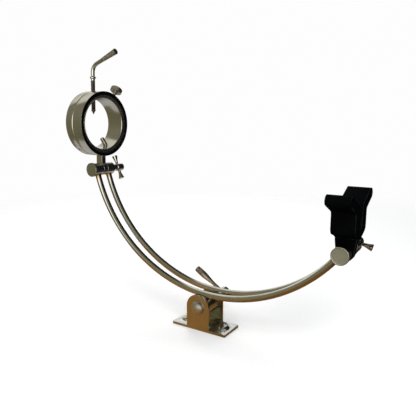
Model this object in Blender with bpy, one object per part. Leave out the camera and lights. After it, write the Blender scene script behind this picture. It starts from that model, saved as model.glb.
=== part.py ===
"""Table-mounted swivelling ham stand: base bracket, twin-rod arc, rotating ring head and V cradle.

Frame: origin at the centre of the base plate's underside, +X along the base plate towards the
cradle, +Y along the pivot and hinge bolts towards the clamping knobs, +Z up.
Dimensions below are millimetres and degrees; meshes and locations are written in metres.
"""
import math

import bmesh
import bpy
from mathutils import Euler, Matrix, Vector

MM = 0.001
GAP = 0.3  # clearance left between neighbouring pieces

# Base bracket: a plate with two ears folded up along its long edges
PLATE_LENGTH = 100.0
PLATE_WIDTH = 45.0
SHEET = 4.0
PLATE_CORNER = 1.2
EAR_WIDTH = 42.0
PIVOT_HEIGHT = 38.0
SCREW_OFFSET = 36.0
SCREW_HOLE_RADIUS = 2.8
SCREW_HEAD_RADIUS = 8.7
SCREW_HEAD_HEIGHT = 3.8

# Pivot bolt, tube, bushes and clamping lever
PIVOT_BOLT_RADIUS = 5.0
PIVOT_BOLT_END = 50.0
PIVOT_DOME_RADIUS = 11.2
PIVOT_DOME_HEIGHT = 7.0
TUBE_RADIUS = 16.7
TUBE_BORE_RADIUS = 13.0
TUBE_HALF_LENGTH = 18.2
BUSH_LENGTH = 11.0
LEVER_ANGLE = 30.0  # above the -X direction
LEVER_REACH = 66.0
LEVER_HUB_END = 67.0
LEVER_ARM_Y = 58.0

# Arc: two parallel rods bent to one circle in the XZ plane
ROD_RADIUS = 5.0
ROD_PITCH = 26.0
ARC_RADIUS = 250.0
ARC_CENTRE_X = 20.2
ARC_CENTRE_Z = 309.3
ARC_START = -75.6  # degrees from straight down, at the ring end
ARC_END = 53.2

# Hinges at both ends of the arc
KNUCKLE_RADIUS = 11.0
KNUCKLE_OUTER = 22.0
KNUCKLE_INNER = 5.0
WASHER_END = 23.9
RIGHT_SPACER_END = 45.0
HINGE_BOLT_RADIUS = 4.0
HINGE_DISC_RADIUS = 12.3
HINGE_DISC_THICKNESS = 4.2
LEFT_KNOB_CENTRE = 41.0  # position of the wings along the bolt
RIGHT_KNOB_CENTRE = 61.5
KNOB_RADIUS = 7.0
KNOB_PAST_WINGS = 9.5
BOLT_PAST_KNOB = 6.0
RIGHT_HINGE_DROP = 1.2  # the cradle's hinge sits slightly below the rods' centre line
KNOB_BAR_REACH = 22.0
LEFT_BAR_ANGLE = 112.0  # in the XZ plane, from +X
RIGHT_BAR_ANGLE = -15.0

# Ring head, in its own frame with the left hinge at the origin
HEAD_LEAN = 2.0
RING_CENTRE = 80.1  # height above the hinge
RING_FRONT = 10.0
RING_REAR = -27.6
RING_SEAM = -11.2
RING_RADIUS = 56.2
RING_GROOVE = 2.0
SLEEVE_INNER = 44.2
SLEEVE_OUTER = 50.0
BAND_INNER = 52.4
NECK_LEFT = -9.0
NECK_RIGHT = 4.6
PIN_X = -19.2
PIN_ANGLE = 144.0
PIN_RADIUS = 4.0
PIN_TIP = 32.0
SPIKE_X = -19.2
SPIKE_RADIUS = 3.9
SPIKE_TIP = 15.6
SPIKE_TOP = 74.0
HANDLE_BEND = 99.0
HANDLE_SLOPE = 22.0
HANDLE_REACH = 60.0
HANDLE_RADIUS = 3.4
HANDLE_BEND_RADIUS = 16.0
GRIP_RADIUS = 5.2
THUMB_X = 0.4
THUMB_ANGLE = 32.0
THUMB_STUD_RADIUS = 2.6
THUMB_KNOB_RADIUS = 10.5
THUMB_KNOB_START = 66.5
THUMB_KNOB_THICKNESS = 9.0

# Cradle, with the right hinge at the origin of its own frame
CRADLE_BACK = -14.0
CRADLE_FRONT = 18.0
CRADLE_BODY_HALF = 26.3
CRADLE_WING_HALF = 55.0
CRADLE_FLOOR = 21.0
CRADLE_SHOULDER = 58.5
CRADLE_TOP = 82.0
CRADLE_SLOT_HALF = 8.0
CRADLE_SLOT_FLOOR = 33.0
CRADLE_SLOT_MOUTH = 65.5
STEM_HALF = 4.7
STEM_FOOT_RADIUS = 12.5


def on_arc(angle):
    """Point of the arc's centre line, at an angle in degrees from straight down."""
    turn = math.radians(angle)
    return (ARC_CENTRE_X + ARC_RADIUS * math.sin(turn), ARC_CENTRE_Z - ARC_RADIUS * math.cos(turn))


LEFT_HINGE = on_arc(ARC_START)
RIGHT_HINGE = (on_arc(ARC_END)[0] + RIGHT_HINGE_DROP, on_arc(ARC_END)[1] - RIGHT_HINGE_DROP)


# ---------------------------------------------------------------- scene and materials
def clear_scene():
    for obj in list(bpy.data.objects):
        bpy.data.objects.remove(obj, do_unlink=True)


def material(name, colour, roughness, metallic):
    mat = bpy.data.materials.get(name) or bpy.data.materials.new(name)
    mat.use_nodes = True
    shader = mat.node_tree.nodes["Principled BSDF"]
    shader.inputs["Base Color"].default_value = (*colour, 1.0)
    shader.inputs["Roughness"].default_value = roughness
    shader.inputs["Metallic"].default_value = metallic
    return mat


def polished_steel():
    return material("polished_steel", (0.62, 0.60, 0.54), 0.12, 1.0)


def satin_steel():
    return material("satin_steel", (0.55, 0.53, 0.47), 0.32, 1.0)


def black_nylon():
    return material("black_nylon", (0.015, 0.015, 0.017), 0.38, 0.0)


def empty(name, location, parent=None, rotation=(0.0, 0.0, 0.0)):
    """A pivot point in millimetres, relative to its parent, with rotation in degrees."""
    obj = bpy.data.objects.new(name, None)
    bpy.context.collection.objects.link(obj)
    obj.parent = parent
    obj.location = Vector(location) * MM
    obj.rotation_euler = Euler([math.radians(a) for a in rotation])
    return obj


def add_object(name, bm, mat, parent=None, sharp=35.0):
    """Turn a millimetre bmesh into a smooth-shaded object in metres."""
    bmesh.ops.recalc_face_normals(bm, faces=bm.faces)
    bmesh.ops.scale(bm, vec=(MM, MM, MM), verts=bm.verts)
    mesh = bpy.data.meshes.new(name)
    bm.to_mesh(mesh)
    bm.free()
    mesh.materials.append(mat)
    mesh.shade_smooth()
    mesh.set_sharp_from_angle(angle=math.radians(sharp))
    obj = bpy.data.objects.new(name, mesh)
    bpy.context.collection.objects.link(obj)
    obj.parent = parent
    return obj


def boolean(target, bm, operation="DIFFERENCE"):
    """Cut target with a shape given in the target's own frame, or join the shape to it."""
    tool = add_object(target.name + "_tool", bm, target.data.materials[0], target.parent)
    tool.hide_render = True
    tool.display_type = "WIRE"
    modifier = target.modifiers.new(operation.title(), "BOOLEAN")
    modifier.operation = operation
    modifier.solver = "EXACT"
    modifier.object = tool


# ---------------------------------------------------------------- shape builders
def arc_points(centre, radius, start, end, steps):
    """Points on a circle from one angle to another, in degrees."""
    points = []
    for i in range(steps + 1):
        turn = math.radians(start + (end - start) * i / steps)
        points.append((centre[0] + radius * math.cos(turn), centre[1] + radius * math.sin(turn)))
    return points


def oval_points(centre, across, up, start, end, steps):
    """Points on an ellipse from one angle to another, in degrees."""
    turns = [math.radians(start + (end - start) * i / steps) for i in range(steps + 1)]
    return [(centre[0] + across * math.cos(t), centre[1] + up * math.sin(t)) for t in turns]


def lathe(profile, segments=20, hollow=False, bm=None):
    """Revolve (along, radius) points about local Z; a hollow profile is a closed loop."""
    bm = bm or bmesh.new()
    rings = []
    for along, radius in profile:
        if radius == 0.0:
            rings.append([bm.verts.new((0.0, 0.0, along))])
            continue
        turns = [2 * math.pi * k / segments for k in range(segments)]
        rings.append([bm.verts.new((radius * math.cos(t), radius * math.sin(t), along)) for t in turns])
    pairs = list(zip(rings, rings[1:]))
    if hollow:
        pairs.append((rings[-1], rings[0]))
    for low, high in pairs:
        join_rings(bm, low, high)
    if not hollow:
        for ring in (rings[0], rings[-1]):
            if len(ring) > 1:
                bm.faces.new(ring)
    return bm


def join_rings(bm, low, high):
    """Faces between two rings of points; either ring may be a single point."""
    count = max(len(low), len(high))
    for k in range(count):
        corners = [low[k % len(low)], low[(k + 1) % len(low)]]
        corners += [high[(k + 1) % len(high)], high[k % len(high)]]
        bm.faces.new(list(dict.fromkeys(corners)))


def prism(outline, low, high, axis):
    """Extrude a flat outline along X, Y or Z; the outline's points are the other two axes."""
    bm = bmesh.new()
    loops = []
    for level in (low, high):
        order = {"X": lambda a, b: (level, a, b), "Y": lambda a, b: (a, level, b)}
        order["Z"] = lambda a, b: (a, b, level)
        loops.append([bm.verts.new(order[axis](a, b)) for a, b in outline])
    join_rings(bm, *loops)
    bm.faces.new(loops[0])
    bm.faces.new(loops[1])
    return bm


def swept_bar(path, radii, y=0.0, sides=16):
    """Round bar along (x, z) points in a plane of constant y, with a radius at each point."""
    bm = bmesh.new()
    points = [Vector((x, y, z)) for x, z in path]
    rings = []
    for i, point in enumerate(points):
        tangent = (points[min(i + 1, len(points) - 1)] - points[max(i - 1, 0)]).normalized()
        normal = Vector((0.0, 1.0, 0.0)).cross(tangent)
        ring = []
        for k in range(sides):
            turn = 2 * math.pi * k / sides
            offset = math.cos(turn) * normal + math.sin(turn) * Vector((0.0, 1.0, 0.0))
            ring.append(bm.verts.new(point + radii[i] * offset))
        rings.append(ring)
    for low, high in zip(rings, rings[1:]):
        join_rings(bm, low, high)
    bm.faces.new(rings[0])
    bm.faces.new(rings[-1])
    return bm


def turned(bm, axis, centre=(0.0, 0.0, 0.0)):
    """Point a lathe shape's Z axis along the given direction and move it to a centre."""
    turn = Vector((0.0, 0.0, 1.0)).rotation_difference(Vector(axis)).to_matrix().to_4x4()
    bmesh.ops.transform(bm, matrix=Matrix.Translation(centre) @ turn, verts=bm.verts)
    return bm


def along_y(bm, centre=(0.0, 0.0, 0.0)):
    return turned(bm, (0.0, 1.0, 0.0), centre)


def cylinder(radius, low, high, segments=20):
    return lathe([(low, radius), (high, radius)], segments)


def tube(inner, outer, low, high, segments=20, chamfer=0.4):
    """A round sleeve with small chamfers on its outer edges."""
    profile = [(low, inner), (low, outer - chamfer), (low + chamfer, outer)]
    profile += [(high - chamfer, outer), (high, outer - chamfer), (high, inner)]
    return lathe(profile, segments, hollow=True)


# ---------------------------------------------------------------- base and pivot
def ear_outline():
    """Straight-sided ear with a round top about the pivot."""
    half = EAR_WIDTH / 2
    return [(-half, 0.5), (half, 0.5)] + arc_points((0.0, PIVOT_HEIGHT), half, 0.0, 180.0, 16)


def plate_outline():
    """Rectangle with rounded corners."""
    x = PLATE_LENGTH / 2 - PLATE_CORNER
    y = PLATE_WIDTH / 2 - PLATE_CORNER
    points = []
    for i, centre in enumerate(((x, y), (-x, y), (-x, -y), (x, -y))):
        points += arc_points(centre, PLATE_CORNER, 90.0 * i, 90.0 * i + 90.0, 4)
    return points


def build_base():
    bracket = add_object("base_bracket", prism(plate_outline(), 0.0, SHEET, "Z"), satin_steel())
    outer = PLATE_WIDTH / 2
    for side in (-1, 1):
        low, high = sorted((side * outer, side * (outer - SHEET)))
        boolean(bracket, prism(ear_outline(), low, high, "Y"), "UNION")
    hole = along_y(cylinder(PIVOT_BOLT_RADIUS + GAP, -30.0, 30.0), (0.0, 0.0, PIVOT_HEIGHT))
    boolean(bracket, hole)
    for side in (-1, 1):
        hole = cylinder(SCREW_HOLE_RADIUS, -1.0, SHEET + 1.0, 16)
        boolean(bracket, turned(hole, (0, 0, 1), (side * SCREW_OFFSET, 0.0, 0.0)))


def build_base_screws():
    """Pan-head screws with a cross slot in each head; shanks end level with the underside."""
    for name, side in (("base_screw_ring_side", -1), ("base_screw_cradle_side", 1)):
        build_base_screw(name, side * SCREW_OFFSET)


def build_base_screw(name, x):
    seat = SHEET + GAP
    top = seat + SCREW_HEAD_HEIGHT
    profile = [(GAP, 0.0), (GAP, 2.4), (seat, 2.4), (seat, SCREW_HEAD_RADIUS)]
    profile += [(seat + 0.9, SCREW_HEAD_RADIUS), (seat + 2.2, SCREW_HEAD_RADIUS - 1.3)]
    profile += [(top - 0.6, 4.8), (top, 0.0)]
    axis = empty(name + "_axis", (x, 0.0, 0.0), rotation=(0.0, 0.0, 20.0))
    screw = add_object(name, lathe(profile, 20), polished_steel(), axis)
    for long, wide in ((3.8, 0.6), (0.6, 3.8)):
        outline = [(-long, -wide), (long, -wide), (long, wide), (-long, wide)]
        boolean(screw, prism(outline, top - 2.0, top + 1.0, "Z"))


def build_pivot_bolt():
    face = -(PLATE_WIDTH / 2 + GAP)
    dome = arc_points((face - 1.8, 0.0), 1.0, 180.0, 90.0, 8)
    profile = []
    for along, height in dome:
        depth = (face - 1.8 - along) * PIVOT_DOME_HEIGHT
        profile.append((face - 1.8 - depth, height * (PIVOT_DOME_RADIUS - 0.8)))
    profile[0] = (profile[0][0], 0.0)
    profile += [(face - 1.8, PIVOT_DOME_RADIUS - 0.3), (face - 1.3, PIVOT_DOME_RADIUS)]
    profile += [(face, PIVOT_DOME_RADIUS), (face, PIVOT_BOLT_RADIUS)]
    profile += [(PIVOT_BOLT_END, PIVOT_BOLT_RADIUS), (PIVOT_BOLT_END, 0.0)]
    add_object("pivot_bolt", along_y(lathe(profile), (0, 0, PIVOT_HEIGHT)), polished_steel())
    face = PLATE_WIDTH / 2 + GAP
    washer = tube(PIVOT_BOLT_RADIUS + GAP, 12.0, face, face + 2.0, chamfer=0.3)
    add_object("pivot_washer", along_y(washer, (0, 0, PIVOT_HEIGHT)), satin_steel())


def build_pivot_tube(frame):
    shell = tube(TUBE_BORE_RADIUS, TUBE_RADIUS, -TUBE_HALF_LENGTH, TUBE_HALF_LENGTH, 28, 0.6)
    add_object("pivot_tube", along_y(shell), polished_steel(), frame)
    for name, side in (("pivot_bush_front", -1), ("pivot_bush_rear", 1)):
        low, high = sorted((side * TUBE_HALF_LENGTH, side * (TUBE_HALF_LENGTH - BUSH_LENGTH)))
        bush = tube(PIVOT_BOLT_RADIUS + GAP, TUBE_BORE_RADIUS - GAP, low, high)
        add_object(name, along_y(bush), black_nylon(), frame)


def build_pivot_lever():
    """Clamping lever: hub nut on the bolt's rear end and a tapered arm with a thick end."""
    pivot = empty("pivot_lever_axis", (0.0, 0.0, PIVOT_HEIGHT))
    start = PLATE_WIDTH / 2 + 2.0 + 2 * GAP
    bore = PIVOT_BOLT_RADIUS + GAP
    depth = PIVOT_BOLT_END + 1.0
    profile = [(depth, 0.0), (depth, bore), (start, bore), (start, 10.4), (start + 0.6, 11.0)]
    profile += [(start + 9.0, 11.0), (start + 13.0, 9.2), (LEVER_HUB_END - 3.0, 9.2)]
    profile += [(LEVER_HUB_END - 0.8, 8.0), (LEVER_HUB_END, 5.5), (LEVER_HUB_END, 0.0)]
    hub = add_object("lever_hub", along_y(lathe(profile)), satin_steel(), pivot)
    boolean(hub, lever_shape([(5.6, 3.2), (20.0, 3.2)], 12))
    arm = [(6.2, 2.9), (15.0, 2.9), (28.0, 3.2), (46.0, 5.3), (LEVER_REACH - 14.3, 5.8)]
    add_object("lever_arm", lever_shape(arm, 16), polished_steel(), pivot)
    low, high = LEVER_REACH - 14.0, LEVER_REACH
    grip = [(low, 5.8), (low + 2.0, 5.8), (high - 1.0, 5.5), (high, 4.6)]
    add_object("lever_grip", lever_shape(grip, 20), satin_steel(), pivot)


def lever_direction():
    turn = math.radians(LEVER_ANGLE)
    return Vector((-math.cos(turn), 0.06, math.sin(turn))).normalized()


def lever_shape(profile, sides):
    """Round shape along the lever from (distance, radius) points."""
    return turned(lathe(profile, sides), lever_direction(), (0.0, LEVER_ARM_Y, 0.0))


# ---------------------------------------------------------------- arc and hinges
def build_rods(frame):
    steps = 34
    angles = [ARC_START + (ARC_END - ARC_START) * i / steps for i in range(steps + 1)]
    path = [on_arc(angle) for angle in angles]
    path = [(x, z - PIVOT_HEIGHT) for x, z in path]
    for name, side in (("rod_front", -1), ("rod_rear", 1)):
        bar = swept_bar(path, [ROD_RADIUS] * len(path), side * ROD_PITCH / 2, 12)
        rod = add_object(name, bar, polished_steel(), frame)
        for hinge in (LEFT_HINGE, RIGHT_HINGE):
            cope = cylinder(KNUCKLE_RADIUS + GAP, side * ROD_PITCH / 2 - 8.0, side * ROD_PITCH / 2 + 8.0, 24)
            boolean(rod, along_y(cope, (hinge[0], 0.0, hinge[1] - PIVOT_HEIGHT)))


def build_hinge(frame, side_name, hinge, knob_centre, bar_angle):
    """Two knuckles on the rods, a disc-headed bolt, washer and wing knob."""
    axis = empty(side_name + "_hinge_axis", (hinge[0], 0.0, hinge[1] - PIVOT_HEIGHT), frame)
    bore = HINGE_BOLT_RADIUS + GAP
    for name, side in (("front", -1), ("rear", 1)):
        low, high = sorted((side * KNUCKLE_INNER, side * KNUCKLE_OUTER))
        knuckle = tube(bore, KNUCKLE_RADIUS, low, high, 22, 0.6)
        add_object(f"{side_name}_knuckle_{name}", along_y(knuckle), polished_steel(), axis)
    add_object(side_name + "_hinge_bolt", along_y(hinge_bolt(knob_centre)), polished_steel(), axis)
    washer = tube(bore, 8.5, KNUCKLE_OUTER + GAP, WASHER_END, 18, 0.3)
    add_object(side_name + "_hinge_washer", along_y(washer), satin_steel(), axis)
    build_wing_knob(side_name, axis, knob_centre, bar_angle)


def hinge_bolt(knob_centre):
    """Flat round head with a shallow rim, and a shank whose end stands out past the knob."""
    face = -(KNUCKLE_OUTER + GAP)
    front = face - HINGE_DISC_THICKNESS
    radius = HINGE_DISC_RADIUS
    end = knob_centre + BOLT_PAST_KNOB
    profile = [(front + 0.5, 0.0), (front + 0.5, radius - 2.2), (front, radius - 1.8)]
    profile += [(front, radius - 0.7), (front + 0.7, radius), (face - 0.4, radius)]
    profile += [(face, radius - 0.4), (face, HINGE_BOLT_RADIUS), (end - 1.0, HINGE_BOLT_RADIUS)]
    profile += [(end, HINGE_BOLT_RADIUS - 1.0), (end, 0.0)]
    return lathe(profile, 24)


def build_right_spacer(frame):
    """Plain sleeve between the cradle hinge's washer and its longer-reaching knob."""
    axis = empty("right_spacer_axis", (RIGHT_HINGE[0], 0.0, RIGHT_HINGE[1] - PIVOT_HEIGHT), frame)
    spacer = tube(HINGE_BOLT_RADIUS + GAP, 10.4, WASHER_END + GAP, RIGHT_SPACER_END, 20, 0.5)
    add_object("right_hinge_spacer", along_y(spacer), polished_steel(), axis)


def build_wing_knob(side_name, axis, centre_y, bar_angle):
    """Cap nut with a long boss towards the hinge and two flared wings."""
    knob = empty(side_name + "_knob_axis", (0.0, 0.0, 0.0), axis, (0.0, -bar_angle, 0.0))
    bore = HINGE_BOLT_RADIUS + GAP
    depth = centre_y + BOLT_PAST_KNOB + 1.0
    start = (WASHER_END if side_name == "left" else RIGHT_SPACER_END) + GAP
    low, high = centre_y - 5.5, centre_y + KNOB_PAST_WINGS
    profile = [(depth, 0.0), (depth, bore), (start, bore), (start, 5.6), (low - 0.6, 5.6)]
    profile += [(low + 0.6, KNOB_RADIUS), (high - 1.2, KNOB_RADIUS), (high, 5.6), (high, 0.0)]
    add_object(side_name + "_knob_hub", along_y(lathe(profile, 20)), polished_steel(), knob)
    reach = KNOB_BAR_REACH
    root = KNOB_RADIUS + GAP
    for name, side in (("a", 1), ("b", -1)):
        profile = [(root, 2.7), (root + 3.0, 2.4), (reach - 8.0, 3.3), (reach - 1.0, 5.3), (reach, 4.6)]
        wing = turned(lathe(profile, 12), (side, 0, 0), (0.0, centre_y, 0.0))
        add_object(f"{side_name}_knob_wing_{name}", wing, satin_steel(), knob)


# ---------------------------------------------------------------- ring head
def build_ring_head(frame):
    location = (LEFT_HINGE[0], 0.0, LEFT_HINGE[1] - PIVOT_HEIGHT)
    head = empty("head_axis", location, frame, (0.0, HEAD_LEAN, 0.0))
    build_neck(head)
    ring = empty("ring_axis", (0.0, 0.0, RING_CENTRE), head)
    build_fixed_ring(ring)
    build_rotating_ring(ring)
    build_spike(ring)
    build_thumb_screw(ring)


def build_neck(head):
    """Middle knuckle and the flat bar that carries the ring, as one plate."""
    top = RING_CENTRE - RING_RADIUS - GAP - 0.05
    start = 180.0 - math.degrees(math.asin(math.sqrt(1 - (NECK_LEFT / KNUCKLE_RADIUS) ** 2)))
    end = 360.0 + math.degrees(math.acos(NECK_RIGHT / KNUCKLE_RADIUS))
    outline = [(NECK_RIGHT, top), (NECK_LEFT, top)]
    outline += arc_points((0.0, 0.0), KNUCKLE_RADIUS, start, end, 18)
    thick = KNUCKLE_INNER - GAP
    neck = add_object("neck", prism(outline, -thick, thick, "Y"), satin_steel(), head)
    boolean(neck, along_y(cylinder(HINGE_BOLT_RADIUS + GAP, -9.0, 9.0)))


def ring_lathe(profile, segments=48):
    """Hollow ring about the head's X axis from (x, radius) points."""
    return turned(lathe(profile, segments, hollow=True), (1.0, 0.0, 0.0))


def radial_hole(radius, low, high, x, angle):
    """Cylinder pointing away from the ring's axis; angle runs from the top towards +Y."""
    turn = math.radians(angle)
    return turned(cylinder(radius, low, high, 16), (0.0, math.sin(turn), math.cos(turn)), (x, 0.0, 0.0))


def build_fixed_ring(ring):
    """Outer band on the neck, its plastic bush, and the black ring in its front face."""
    seam = RING_SEAM + GAP / 2
    front = RING_FRONT
    face_outer = RING_RADIUS - 0.8
    profile = [(seam, BAND_INNER), (seam, RING_RADIUS - RING_GROOVE), (seam + RING_GROOVE, RING_RADIUS)]
    profile += [(front - 0.6, RING_RADIUS), (front, RING_RADIUS - 0.5), (front - 3.0, face_outer + GAP)]
    profile += [(front - 3.0, BAND_INNER)]
    band = add_object("fixed_ring", ring_lathe(profile), satin_steel(), ring)
    boolean(band, radial_hole(THUMB_STUD_RADIUS + GAP, 48.0, 60.0, THUMB_X, THUMB_ANGLE))
    bush = [(seam, SLEEVE_OUTER + GAP), (seam, BAND_INNER - GAP)]
    bush += [(4.6, BAND_INNER - GAP), (4.6, SLEEVE_OUTER + GAP)]
    liner = add_object("ring_bush", ring_lathe(bush), black_nylon(), ring)
    boolean(liner, radial_hole(THUMB_STUD_RADIUS + GAP, 48.0, 60.0, THUMB_X, THUMB_ANGLE))
    inner = SLEEVE_OUTER + GAP
    face = [(front - 2.7, inner), (front - 0.4, inner), (front + 0.3, inner + 0.7)]
    face += [(front + 0.3, face_outer - 0.7), (front - 0.4, face_outer), (front - 2.7, face_outer)]
    add_object("face_ring", ring_lathe(face), black_nylon(), ring)


def build_rotating_ring(ring):
    """Rear flange and inner sleeve in one piece, carried in the bush and held by a clip."""
    seam = RING_SEAM - GAP / 2
    rear = RING_REAR
    front = RING_FRONT - 0.6
    groove = RING_FRONT - 5.0
    profile = [(rear, SLEEVE_INNER + 0.6), (rear, RING_RADIUS - 0.8), (rear + 0.8, RING_RADIUS)]
    profile += [(seam - RING_GROOVE, RING_RADIUS), (seam, RING_RADIUS - RING_GROOVE)]
    profile += [(seam, SLEEVE_OUTER), (groove, SLEEVE_OUTER), (groove, SLEEVE_OUTER - 1.4)]
    profile += [(groove + 1.7, SLEEVE_OUTER - 1.4), (groove + 1.7, SLEEVE_OUTER)]
    profile += [(front, SLEEVE_OUTER), (front, SLEEVE_OUTER - 0.6)]
    profile += [(front - 2.2, SLEEVE_INNER + 0.7), (front - 2.9, SLEEVE_INNER)]
    profile += [(rear + 0.6, SLEEVE_INNER)]
    body = add_object("rotating_ring", ring_lathe(profile), satin_steel(), ring)
    boolean(body, radial_hole(SPIKE_RADIUS + GAP, 40.0, 60.0, SPIKE_X, 0.0))
    for side in (-1, 1):
        boolean(body, radial_hole(3.0 + GAP, 40.0, 60.0, PIN_X, side * PIN_ANGLE))
    low, high = groove + 0.25, groove + 1.45
    clip = [(low, SLEEVE_OUTER - 1.1), (low, BAND_INNER - 0.6), (high, BAND_INNER - 0.6)]
    clip += [(high, SLEEVE_OUTER - 1.1)]
    add_object("retaining_ring", ring_lathe(clip, 36), satin_steel(), ring)
    build_pins(ring)


def build_pins(ring):
    """Two fixed pins screwed through the rotating ring, with a socket in each outer end."""
    inner = SLEEVE_INNER - GAP
    outer = RING_RADIUS - 1.0
    for name, side in (("ring_pin_front", -1), ("ring_pin_rear", 1)):
        turn = math.radians(side * PIN_ANGLE)
        profile = [(PIN_TIP, 0.0), (PIN_TIP, 2.4), (PIN_TIP + 2.0, PIN_RADIUS), (inner, PIN_RADIUS)]
        profile += [(inner, 3.0), (outer, 3.0), (outer, 1.6), (outer - 3.0, 1.6), (outer - 3.0, 0.0)]
        pin = turned(lathe(profile, 12), (0.0, math.sin(turn), math.cos(turn)), (PIN_X, 0.0, 0.0))
        add_object(name, pin, polished_steel(), ring)


def handle_path():
    """Centre line of the bent handle: up, round the bend, then out along the slope."""
    slope = math.radians(HANDLE_SLOPE)
    radius = HANDLE_BEND_RADIUS
    setback = radius * math.tan((math.pi / 2 - slope) / 2)
    corner = HANDLE_BEND
    path = [(0.0, SPIKE_TOP + 8.3), (0.0, corner - setback - 4.0)]
    path += arc_points((radius, corner - setback), radius, 180.0, 90.0 + HANDLE_SLOPE, 8)
    return [(SPIKE_X + x, z) for x, z in path]


def along_handle(distance):
    """Point on the handle's sloping part, measured from the corner of the bend."""
    slope = math.radians(HANDLE_SLOPE)
    return (SPIKE_X + distance * math.cos(slope), HANDLE_BEND + distance * math.sin(slope))


def build_spike(ring):
    axis = empty("spike_axis", (SPIKE_X, 0.0, 0.0), ring)
    profile = [(SPIKE_TIP, 0.0), (SPIKE_TIP + 6.0, 3.0), (SPIKE_TIP + 6.6, SPIKE_RADIUS)]
    profile += [(SPIKE_TOP, SPIKE_RADIUS), (SPIKE_TOP, 0.0)]
    add_object("spike_screw", lathe(profile, 16), satin_steel(), axis)
    collar = [(SPIKE_TOP + GAP, 0.0), (SPIKE_TOP + GAP, 3.4), (SPIKE_TOP + 4.2, 3.4)]
    collar += [(SPIKE_TOP + 5.0, 5.0), (SPIKE_TOP + 6.0, 5.5), (SPIKE_TOP + 7.0, 5.0)]
    collar += [(SPIKE_TOP + 8.0, 3.7), (SPIKE_TOP + 8.0, 0.0)]
    add_object("spike_collar", lathe(collar, 16), polished_steel(), axis)
    path = handle_path() + [along_handle(14.0), along_handle(24.0)]
    bar = swept_bar(path, [HANDLE_RADIUS] * len(path), 0.0, 14)
    bmesh.ops.translate(bar, vec=(-SPIKE_X, 0.0, 0.0), verts=bar.verts)
    add_object("spike_handle", bar, polished_steel(), axis)
    grip_path = [along_handle(d) for d in (24.3, 27.0, 40.0, HANDLE_REACH - 1.2, HANDLE_REACH)]
    grip = swept_bar(grip_path, [3.4, 3.7, 4.2, GRIP_RADIUS, 4.4], 0.0, 18)
    bmesh.ops.translate(grip, vec=(-SPIKE_X, 0.0, 0.0), verts=grip.verts)
    add_object("spike_grip", grip, satin_steel(), axis)


def build_thumb_screw(ring):
    axis = empty("thumb_axis", (THUMB_X, 0.0, 0.0), ring, (-THUMB_ANGLE, 0.0, 0.0))
    tip = SLEEVE_OUTER + GAP
    start = THUMB_KNOB_START
    stud = lathe([(tip, 0.0), (tip, 1.8), (tip + 0.8, THUMB_STUD_RADIUS), (start + 4.0, THUMB_STUD_RADIUS),
                  (start + 4.0, 0.0)], 20)
    add_object("thumb_stud", stud, polished_steel(), axis)
    bore = THUMB_STUD_RADIUS + GAP
    end = start + THUMB_KNOB_THICKNESS
    radius = THUMB_KNOB_RADIUS
    profile = [(start + 4.4, 0.0), (start + 4.4, bore), (start - 3.0, bore), (start - 3.0, 4.4)]
    profile += [(start, 4.8), (start, radius - 0.9), (start + 0.9, radius), (end - 1.1, radius)]
    profile += [(end, radius - 1.2), (end, 0.0)]
    add_object("thumb_knob", lathe(profile, 24), satin_steel(), axis)


# ---------------------------------------------------------------- cradle
def cradle_outline():
    """Half outline in the YZ plane, from the slot's floor round the wing to the stem, then mirrored."""
    half = CRADLE_BODY_HALF
    wing = CRADLE_WING_HALF
    top = CRADLE_TOP
    right = arc_points((0.0, CRADLE_SLOT_FLOOR + 4.5), 4.5, -90.0, 0.0, 4)
    right += [(CRADLE_SLOT_HALF - 1.0, CRADLE_SLOT_MOUTH - 3.0)]
    right += [(CRADLE_SLOT_HALF + 0.6, CRADLE_SLOT_MOUTH + 0.4)]
    right += oval_points((wing - 8.5, top - 8.0), 8.5, 8.0, 105.0, 0.0, 8)
    right += oval_points((wing - 6.5, top - 8.0), 6.5, 6.0, -14.0, -62.0, 4)
    right += arc_points((half + 5.0, CRADLE_SHOULDER - 4.6), 5.0, 112.0, 180.0, 4)
    right += arc_points((half - 9.0, CRADLE_FLOOR + 14.0), 9.0, 0.0, -65.0, 5)
    right += [(STEM_HALF + 3.0, CRADLE_FLOOR + 0.6), (STEM_HALF, CRADLE_FLOOR - 1.5)]
    left = [(-y, z) for y, z in reversed(right[1:])]
    return right + left


def stem_outline():
    """Plate in the XZ plane that narrows from the cradle's floor to a knuckle."""
    outline = [(CRADLE_FRONT - 2.0, CRADLE_FLOOR + 2.0), (CRADLE_BACK + 0.1, CRADLE_FLOOR + 2.0)]
    outline += [(CRADLE_BACK + 0.1, CRADLE_FLOOR - 4.0)]
    return outline + arc_points((0.0, 0.0), STEM_FOOT_RADIUS, 170.0, 370.0, 16)


def build_cradle(frame):
    location = (RIGHT_HINGE[0], 0.0, RIGHT_HINGE[1] - PIVOT_HEIGHT)
    axis = empty("cradle_axis", location, frame)
    body = prism(cradle_outline(), CRADLE_BACK, CRADLE_FRONT, "X")
    cradle = add_object("cradle", body, black_nylon(), axis)
    boolean(cradle, prism(stem_outline(), -STEM_HALF, STEM_HALF, "Y"), "UNION")
    boolean(cradle, along_y(cylinder(HINGE_BOLT_RADIUS + GAP, -9.0, 9.0)))


def build():
    clear_scene()
    build_base()
    build_base_screws()
    build_pivot_bolt()
    frame = empty("frame_axis", (0.0, 0.0, PIVOT_HEIGHT))
    build_pivot_tube(frame)
    build_pivot_lever()
    build_rods(frame)
    build_hinge(frame, "left", LEFT_HINGE, LEFT_KNOB_CENTRE, LEFT_BAR_ANGLE)
    build_hinge(frame, "right", RIGHT_HINGE, RIGHT_KNOB_CENTRE, RIGHT_BAR_ANGLE)
    build_right_spacer(frame)
    build_ring_head(frame)
    build_cradle(frame)
    bpy.context.view_layer.update()


build()
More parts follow.
